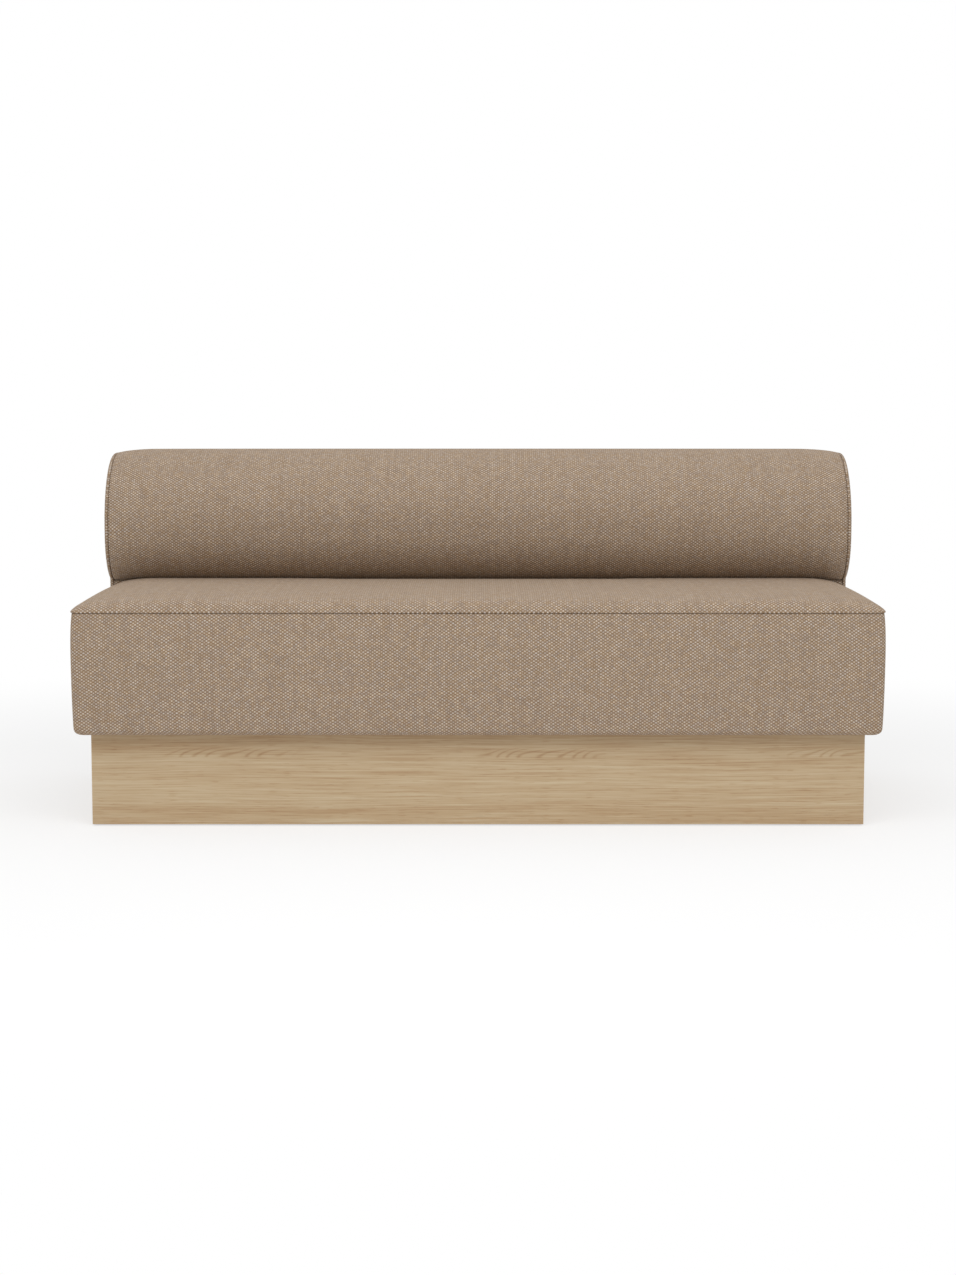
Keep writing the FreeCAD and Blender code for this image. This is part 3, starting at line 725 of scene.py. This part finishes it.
# %% [markdown]
# ## The end panels
# Each end is one flat P-shaped panel with its seam a few millimetres inside the edge, so that its
# border turns over in a small quarter round. The P is star-shaped about a point in the wall: every
# point of its edge can be seen from there. So the panel is a wheel of spokes, with the edge as rim.

# %% Sew the end panels
def end_outline(draw):
    """The P of an end, drawn in by draw: up the neck, round the roll, down the rear and back."""
    draw = np.reshape(draw, (-1, 1))
    front, rear, foot = neck + draw, back - draw, plinth_top + draw
    below = -np.arccos((belly + lower - front) / (lower - draw))
    run = np.linspace(0, 1, 24)[None]
    meet = belly_height + (lower - draw) * np.sin(below)
    runs = [
        (front + 0 * run, foot + (meet - foot) * run),
        arc_run(belly + lower, belly_height, lower - draw, below, 0 * below, 24),
        arc_run(belly + upper, rim_top - upper, upper - draw, 0, math.pi / 2, 30),
        arc_run(back - rear_turn, rim_top - rear_turn, rear_turn - draw, math.pi / 2, math.pi, 18),
        (rear + 0 * run, rim_top - rear_turn + (foot - rim_top + rear_turn) * run),
        (rear + (front - rear) * run, foot + 0 * run),
    ]
    trims = [slice(0, -1), slice(0, None), slice(0, None), slice(0, -1), slice(0, -1), slice(0, -1)]
    return (blocks(*(part[0][:, trim] for part, trim in zip(runs, trims))),
            blocks(*(part[1][:, trim] for part, trim in zip(runs, trims))))


turn = np.radians([14, 30, 46, 62, 76, 90])
bulge = half_width - rim
lip_out = np.concatenate([[0.0, 0.0006], bulge * np.sin(turn)])
lip_draw = np.concatenate([[tuck_depth, 0.0014], bulge * (1 - np.cos(turn))])
hub = np.array([0.270, 0.500])
spokes = np.array([0.94, 0.85, 0.74, 0.62, 0.5, 0.38, 0.26, 0.14, 0.04])
y, z = end_outline(lip_draw)
y = np.concatenate([y, hub[0] + spokes[:, None] * (y[-1] - hub[0])])
z = np.concatenate([z, hub[1] + spokes[:, None] * (z[-1] - hub[1])])
out = np.concatenate([lip_out, bulge + 0.0015 * (1 - spokes ** 3)])[:, None]
pinned = np.zeros(y.shape, bool)
pinned[:5] = True
for name, side in (("left", -1), ("right", 1)):
    disc = np.stack(np.broadcast_arrays(side * (rim + out), y, z), -1)
    flat = np.stack([np.concatenate([y, y[:, :1]], 1), np.concatenate([z, z[:, :1]], 1)], -1)
    panel = cover(f"{name}_end_panel", disc, flat, (0, *hub), closed=True, capped=True)
    stuff(panel, pinned, most=0.002)
    dress(panel, 0.95, f"{name}_end_cover", f"{name}_end_pad")

# %% [markdown]
# ## Timber, cloth and metal inside
# Most of the frame is sealed in, but the part can be taken to pieces and looked at, so every node
# gets the finish of what it is made of: sawn softwood, plywood with its pale face, beech dowels,
# hardboard, foam, webbing, black cloth, zinc-plated steel and moulded plastic.

# %% Finish the rest of the frame
def timber(name, dark, pale, scale, roughness=0.7):
    """Wood: one noise drawn out along a grain, between two colours, with a fine tooth."""
    wood = Finish(name)
    grain = wood.noise(wood.place(scale), 1.0, 3.0)
    tooth = wood.noise(wood.place([9 * size for size in scale]), 1.0, 2.0)
    shade = (grain - 0.5) * 1.6 + (tooth - 0.5) * 0.6 + 0.5
    return wood.surface(Base_Color=wood.ramp(shade, [(0.0, dark), (1.0, pale)]), Roughness=roughness,
                        Normal=wood.bumps(tooth, 0.0004, 0.4))


def grainy(name, dark, pale, size, roughness, metallic=0.0, distance=0.0003):
    """A finish without direction: specks of one size between two colours."""
    plain = Finish(name)
    speck = plain.noise(plain.place([1.0, 1.0, 1.0]), 1.0 / size, 3.0)
    return plain.surface(Base_Color=plain.ramp(speck, [(0.3, dark), (0.7, pale)]), Metallic=metallic,
                         Roughness=roughness + (speck - 0.5) * 0.15,
                         Normal=plain.bumps(speck, distance, 0.5))


finishes = {
    "plywood": timber("plywood", srgb(178, 146, 104), srgb(216, 189, 148), [3.0, 60.0, 60.0]),
    "softwood": timber("softwood", srgb(186, 150, 102), srgb(226, 198, 152), [2.0, 70.0, 70.0]),
    "beech_dowel": timber("beech_dowel", srgb(188, 152, 114), srgb(214, 182, 146), [90.0, 12.0, 90.0]),
    "hardboard": grainy("hardboard", srgb(92, 66, 44), srgb(118, 88, 60), 0.004, 0.75),
    "foam": grainy("foam", srgb(214, 204, 176), srgb(232, 224, 200), 0.003, 0.95, 0.0, 0.001),
    "wadding": grainy("wadding", srgb(224, 222, 216), srgb(242, 241, 237), 0.006, 0.98, 0.0, 0.001),
    "webbing": grainy("webbing", srgb(52, 50, 48), srgb(84, 80, 76), 0.002, 0.85),
    "deck_cloth": grainy("deck_cloth", srgb(150, 140, 124), srgb(176, 166, 150), 0.002, 0.95),
    "dust_cloth": grainy("dust_cloth", srgb(24, 24, 25), srgb(44, 44, 45), 0.0015, 0.95),
    "zinc_steel": grainy("zinc_steel", srgb(164, 166, 166), srgb(196, 198, 198), 0.0012, 0.35, 1.0),
    "glide_plastic": grainy("glide_plastic", srgb(28, 28, 29), srgb(46, 46, 47), 0.0008, 0.5),
    "hopsack": hopsack,
}
print("finishes for the frame:", len(finishes))

# %% Give each node its finish
subparts = frame["record"]["subparts"]
for part in subparts:
    if part["material_slot"] in finishes:
        node = frame["nodes"][part["node"]]
        node.data.materials.clear()
        node.data.materials.append(finishes[part["material_slot"]])
print("slots in the record:", sorted({part["material_slot"] for part in subparts}))

# %% [markdown]
# ## The dust cloth
# Underneath, a black cloth is stapled across the seat frame, so that nothing falls through. It is
# pulled tight, and sags by a few millimetres only in the bays between the ties of the plinth. A
# squared sine across each bay, times a sine from front to rear, gives that sag without a simulation.

# %% Staple the dust cloth
deepest_sag, half_cloth = 0.004, 0.0005
dust_low, dust_high = (np.array(corner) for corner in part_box("seat_dust_cover"))
ties = ("outer_left", "inner_left", "inner_right", "outer_right")
tie_edges = np.sort([corner[0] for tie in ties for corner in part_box(f"plinth_{tie}_tie")])
bay_low = np.append(dust_low[0], tie_edges[1::2])[:, None]
bay_high = np.append(tie_edges[0::2], dust_high[0])[:, None]
share = np.linspace(0, 1, 17)[None]
deep = np.linspace(0, 1, 25)[:, None]
x = (bay_low + (bay_high - bay_low) * share).reshape(1, -1)
y = dust_low[1] + (dust_high[1] - dust_low[1]) * deep
bay_sag = np.tile(np.sin(math.pi * share) ** 2, len(bay_low))
sag = deepest_sag * bay_sag * np.sin(math.pi * deep)
cloth = np.stack(np.broadcast_arrays(x, y, dust_high[2] - half_cloth - sag), -1)
dust_sheet = cover("dust_sheet", cloth, cloth[..., :2], (0, 0, 1))
dust_sheet.data.materials[0] = finishes["dust_cloth"]
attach(dust_sheet, "sofa")
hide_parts("seat_dust_cover")
print("bays of the dust cloth, in mm:", np.round(1000 * (bay_high - bay_low).ravel(), 1))

# %% [markdown]
# ## Floor and light
# The photograph is a cut-out on white. A wide pale floor takes a soft shadow, which grounds the sofa,
# and shows as white wherever it is lit. The light is plain: a white surround, dimmer near the
# horizon, and one large soft lamp above and in front. Little of it reaches the roll's underside.

# %% Lay the floor
floor_finish = Finish("floor")
floor_finish.surface(Base_Color=(0.92, 0.92, 0.92, 1.0), Roughness=0.95, Specular_IOR_Level=0.0)


def seen_directly(finish):
    """1 for a ray from the camera, a mirror or glass, 0 for one that only lights something."""
    seen, mirrored_ray, through_glass = (
        finish.node("ShaderNodeLightPath", {}, {}, f"Is {ray} Ray")
        for ray in ("Camera", "Glossy", "Transmission"))
    return seen.maths("MAXIMUM", mirrored_ray).maths("MAXIMUM", through_glass)


distance = floor_finish.node("ShaderNodeVectorMath", {"operation": "LENGTH"},
                             {0: floor_finish.place([1.0, 1.0, 1.0])}, "Value")
glow = floor_finish.node("ShaderNodeEmission", {}, {"Strength": 1.0})
lit = Strand(floor_finish, floor_finish.shader.outputs[0])
white = floor_finish.node("ShaderNodeMixShader", {}, {
    0: seen_directly(floor_finish) * (0.6 + 0.4 * distance.between(1.3, 2.6)), 1: lit, 2: glow})
floor_finish.feed(floor_finish.tree.nodes["Material Output"].inputs[0], white)
floor_mesh = bpy.data.meshes.new("floor")
reach = 20
floor_corners = [(-reach, -reach, 0), (reach, -reach, 0), (reach, reach, 0), (-reach, reach, 0)]
floor_mesh.from_pydata(floor_corners, [], [(0, 1, 2, 3)])
floor_mesh.materials.append(floor_finish.material)
floor = bpy.data.objects.new("floor", floor_mesh)
scene.collection.objects.link(floor)
print("floor:", floor.dimensions[:])

# %% Hang the lights
surround = Finish("surround", bpy.data.worlds, "Background")
rising = surround.parts(surround.node("ShaderNodeTexCoord", {}, {}, "Generated"))[2]
ambient = 0.4 + 0.4 * rising.between(0.2, 0.5)
surround.surface(Color=(1, 1, 1, 1), Strength=seen_directly(surround) * (1 - ambient) + ambient)
scene.world = surround.material


def lamp(name, place, target, width, height, power):
    """A rectangular soft lamp at a place, turned to a target."""
    light = bpy.data.lights.new(name, "AREA")
    light.shape = "RECTANGLE"
    light.size, light.size_y, light.energy = width, height, power
    holder = bpy.data.objects.new(name, light)
    holder.location = place
    towards = np.array(target) - np.array(place)
    holder.rotation_euler = (math.atan2(math.hypot(towards[0], towards[1]), -towards[2]), 0,
                             math.atan2(-towards[0], towards[1]))
    scene.collection.objects.link(holder)
    print(name, "of", power, "W at", place)


lamp("key_lamp", place=(0.0, -2.4, 3.3), target=(0, 0, 0.4), width=4.0, height=2.2, power=61)
